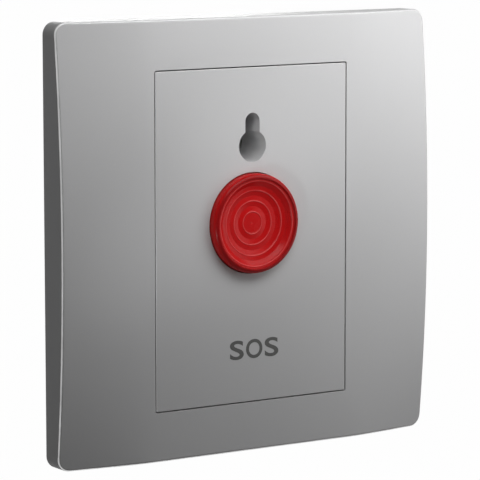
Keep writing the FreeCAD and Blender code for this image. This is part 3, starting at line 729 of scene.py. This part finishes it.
# %% [markdown]
# ## The printed mark
#
# The letters are pad printed, and ink stands a few hundredths of a millimetre proud at most.
# Each letter is fitted to its own width and height, because a print is set by size and not by
# point. The three are joined into one mesh, whose back lies on the panel's face.

# %% Printed mark
letter_widths = (3.25 * mm, 3.85 * mm, 3.25 * mm)
letter_gap = 0.55 * mm
letter_height = 3.85 * mm
mark_shift = 0.4 * mm
mark_level = -22.6 * mm
ink_depth = 0.02 * mm


def printed_mark():
    """The letters as one thin solid that lies on the panel's face."""
    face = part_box("centre_panel")[0].y
    left = mark_shift - (sum(letter_widths) + 2 * letter_gap) / 2
    points = []
    faces = []
    for letter, width in zip("SOS", letter_widths):
        shares, loops = letter_points(letter)
        first = len(points)
        for across, up, out in shares:
            x = left + across * width
            z = mark_level + (up - 0.5) * letter_height
            points.append((x, face - out * ink_depth, z))
        faces.extend(tuple(first + index for index in loop) for loop in loops)
        left += width + letter_gap
    mesh = bpy.data.meshes.new("help_mark")
    mesh.from_pydata(points, [], faces)
    return bpy.data.objects.new("help_mark", mesh)


mark = printed_mark()
bpy.context.scene.collection.objects.link(mark)
print("mark has", len(mark.data.polygons), "faces")

# %% [markdown]
# ## Ink
#
# Ink is matt and dark grey, a little thin in places where the pad lifted. One noise mixes its
# two tones and moves its roughness.

# %% Ink
ink_tone = (0.095, 0.095, 0.092)
thin_tone = (0.130, 0.130, 0.126)
ink_rough = 0.5


def printed_ink():
    """Dark grey pad-printing ink."""
    material, tree, shader = start_material("printed_ink")
    place = add_node(tree, "ShaderNodeTexCoord").outputs["Object"]
    thin = add_node(tree, "ShaderNodeTexNoise", {"Vector": place, "Scale": 1800.0, "Detail": 4.0})
    colour = mix_colours(tree, thin.outputs[0], ink_tone, thin_tone)
    tree.links.new(colour, shader.inputs["Base Color"])
    spread = calculate(tree, "MULTIPLY", thin.outputs[0], 0.2)
    tree.links.new(calculate(tree, "ADD", spread, ink_rough), shader.inputs["Roughness"])
    shader.inputs["Specular IOR Level"].default_value = 0.3
    return material


mark.data.materials.append(printed_ink())
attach(mark, "base")
print("mark rides on the base")

# %% [markdown]
# ## Floor and background
#
# The photograph shows the plate against plain white. The floor lies well below it, so that
# the plate hangs clear as it does on a wall. A camera ray sees the floor nearly white, while
# the light that it returns to the object stays that of a plain pale floor. The Light Path node
# tells the kinds of ray apart. Mirror rays see about half of the white, so that the painted
# highlight of pale metal on the edges has something to reflect.

# %% Floor material
mirror_share = 0.55
floor_white = 0.99
floor_tone = (0.78, 0.78, 0.78)
second_floor_tone = (0.82, 0.82, 0.82)


def seen_directly(tree):
    """1 for camera rays, about half for mirror rays, and 0 for the rest."""
    rays = add_node(tree, "ShaderNodeLightPath")
    mirror = calculate(tree, "MULTIPLY", rays.outputs["Is Glossy Ray"], mirror_share)
    return calculate(tree, "MAXIMUM", rays.outputs["Is Camera Ray"], mirror)


def pale_floor():
    """A pale floor that looks white and keeps a trace of shadow."""
    material, tree, shader = start_material("pale_floor")
    place = add_node(tree, "ShaderNodeTexCoord").outputs["Object"]
    speckle = add_node(tree, "ShaderNodeTexNoise", {"Vector": place, "Scale": 12.0, "Detail": 3.0})
    colour = mix_colours(tree, speckle.outputs[0], floor_tone, second_floor_tone)
    tree.links.new(colour, shader.inputs["Base Color"])
    shader.inputs["Roughness"].default_value = 0.9
    white = add_node(tree, "ShaderNodeEmission", {"Color": (1, 1, 1, 1), "Strength": 1.0})
    share = calculate(tree, "MULTIPLY", seen_directly(tree), floor_white)
    both = add_node(
        tree, "ShaderNodeMixShader", {0: share, 1: shader.outputs[0], 2: white.outputs[0]}
    )
    output = next(node for node in tree.nodes if node.type == "OUTPUT_MATERIAL")
    tree.links.new(both.outputs[0], output.inputs["Surface"])
    return material


white_floor = pale_floor()
print("made:", white_floor.name)

# %% [markdown]
# The floor itself is one large square. A plane with an edge far outside the picture is enough,
# because the world behind it is seen white too.

# %% Floor
floor_level = -0.45
floor_half = 12.0
floor_corners = [
    (x * floor_half, y * floor_half, floor_level) for x, y in ((-1, -1), (1, -1), (1, 1), (-1, 1))
]
floor_mesh = bpy.data.meshes.new("studio_floor")
floor_mesh.from_pydata(floor_corners, [], [(0, 1, 2, 3)])
floor_mesh.materials.append(white_floor)
floor = bpy.data.objects.new("studio_floor", floor_mesh)
bpy.context.scene.collection.objects.link(floor)
print("floor at", floor_level, "m")

# %% [markdown]
# ## Two kinds of lamp
#
# A soft box is a rectangle that shines from one side only and isn't seen from behind, so it can
# stand between the camera and the plate. A snoot, as photographers call it, is a spot lamp with
# a narrow cone that lights one small place.

# %% Lamp helpers
snoot_blend = 0.6
snoot_radius = 0.01


def hang_lamp(name, lamp, place, target):
    """Put a lamp in the scene so that it faces a target."""
    holder = bpy.data.objects.new(name, lamp)
    holder.location = place
    aim = Vector(target) - Vector(place)
    holder.rotation_euler = aim.to_track_quat("-Z", "Y").to_euler()
    bpy.context.scene.collection.objects.link(holder)


def soft_box(name, place, target, width, height, power):
    """A rectangular area light that faces a target."""
    lamp = bpy.data.lights.new(name, "AREA")
    lamp.shape = "RECTANGLE"
    lamp.size = width
    lamp.size_y = height
    lamp.energy = power
    hang_lamp(name, lamp, place, target)


def snoot(name, place, target, angle, power):
    """A narrow spot lamp that faces a target."""
    lamp = bpy.data.lights.new(name, "SPOT")
    lamp.spot_size = angle
    lamp.spot_blend = snoot_blend
    lamp.shadow_soft_size = snoot_radius
    lamp.energy = power
    hang_lamp(name, lamp, place, target)


print("lamp helpers ready")

# %% [markdown]
# ## Light
#
# The plate is brightest at its upper right and falls off to about a sixth at its lower left.
# Only lamps that stand close can do that, because light falls with the square of the distance.
# Light simply adds up, so each lamp's power could be found on its own: the scene was rendered
# once with each lamp alone, and the powers lie near those whose sum comes closest to the
# photograph.
#
# Two strips and two soft boxes stand close in front. A weak box behind and to the left lifts
# the left flank, and one behind lights the back for other views. The two snoots reach where
# the strips can't: the button's lower left side, and the right wall inside the keyhole.

# %% Lamps
soft_box(
    "near_strip",
    place=(0.03, -0.055, 0.07),
    target=(0.02, 0.0, 0.02),
    width=0.14,
    height=0.04,
    power=0.046,
)
soft_box(
    "near_left",
    place=(-0.02, -0.07, 0.09),
    target=(0.0, 0.0, 0.02),
    width=0.06,
    height=0.06,
    power=0.026,
)
soft_box(
    "right_strip",
    place=(0.08, -0.06, 0.02),
    target=(0.03, 0.0, 0.0),
    width=0.06,
    height=0.12,
    power=0.037,
)
soft_box(
    "key_light",
    place=(0.07, -0.12, 0.13),
    target=(0.03, 0.0, 0.03),
    width=0.08,
    height=0.08,
    power=0.045,
)
soft_box(
    "left_light",
    place=(-0.30, 0.25, 0.30),
    target=(0.0, 0.0, 0.0),
    width=0.20,
    height=0.20,
    power=0.30,
)
soft_box(
    "rear_fill",
    place=(0.20, 0.55, 0.05),
    target=(0.0, 0.02, 0.0),
    width=0.30,
    height=0.30,
    power=2.5,
)
snoot(
    "cap_light",
    place=(-0.16, -0.09, -0.07),
    target=(-0.001, -0.006, 0.008),
    angle=0.17,
    power=0.32,
)
snoot(
    "keyhole_light",
    place=(-0.16, -0.12, 0.05),
    target=(0.001, -0.005, 0.019),
    angle=0.08,
    power=0.34,
)

# %% [markdown]
# ## World
#
# The world gives a low, even light from all round. It uses the same mask as the floor: the
# camera sees it white, and mirror rays see it about half as bright.

# %% World
room_light = 0.02
room_white = 1.0


def studio_world():
    """Even grey light, seen as white."""
    world = bpy.data.worlds.new("studio_world")
    world.use_nodes = True
    tree = world.node_tree
    tree.nodes.clear()
    grey = add_node(tree, "ShaderNodeBackground", {"Color": (1, 1, 1, 1), "Strength": room_light})
    white = add_node(tree, "ShaderNodeBackground", {"Color": (1, 1, 1, 1), "Strength": room_white})
    both = add_node(
        tree,
        "ShaderNodeMixShader",
        {0: seen_directly(tree), 1: grey.outputs[0], 2: white.outputs[0]},
    )
    output = add_node(tree, "ShaderNodeOutputWorld")
    tree.links.new(both.outputs[0], output.inputs["Surface"])
    return world


bpy.context.scene.world = studio_world()
bpy.context.scene.view_settings.view_transform = "Standard"
print("world light:", room_light)

# %% [markdown]
# ## Camera
#
# A long lens stands to the left of the plate and a little above it, about 60 cm away. Its place
# and direction were worked out from the plate's corners in the photograph. They are given as a
# point, a heading, a downward tilt and a very slight roll.

# %% Camera
camera_place = Vector((-0.31933, -0.49162, 0.07684))
camera_heading = 0.5782
camera_tilt = 0.1332
camera_roll = -0.0007
lens_length = 223.53
sensor_width = 36.0


def photo_camera():
    """The camera at the photograph's angle."""
    lens = bpy.data.cameras.new("photo_camera")
    lens.lens = lens_length
    lens.sensor_width = sensor_width
    holder = bpy.data.objects.new("photo_camera", lens)
    forward = Vector(
        (
            math.sin(camera_heading) * math.cos(camera_tilt),
            math.cos(camera_heading) * math.cos(camera_tilt),
            -math.sin(camera_tilt),
        )
    )
    turn = forward.to_track_quat("-Z", "Y").to_matrix() @ Matrix.Rotation(camera_roll, 3, "Z")
    holder.matrix_world = Matrix.Translation(camera_place) @ turn.to_4x4()
    bpy.context.scene.collection.objects.link(holder)
    return holder


bpy.context.scene.camera = photo_camera()
print("camera at", [round(value, 3) for value in camera_place])

# %% [markdown]
# ## Bringing the scene up to date
#
# The view layer is brought up to date, so that every piece stands where it was put.

# %% Update the view layer
bpy.context.view_layer.update()
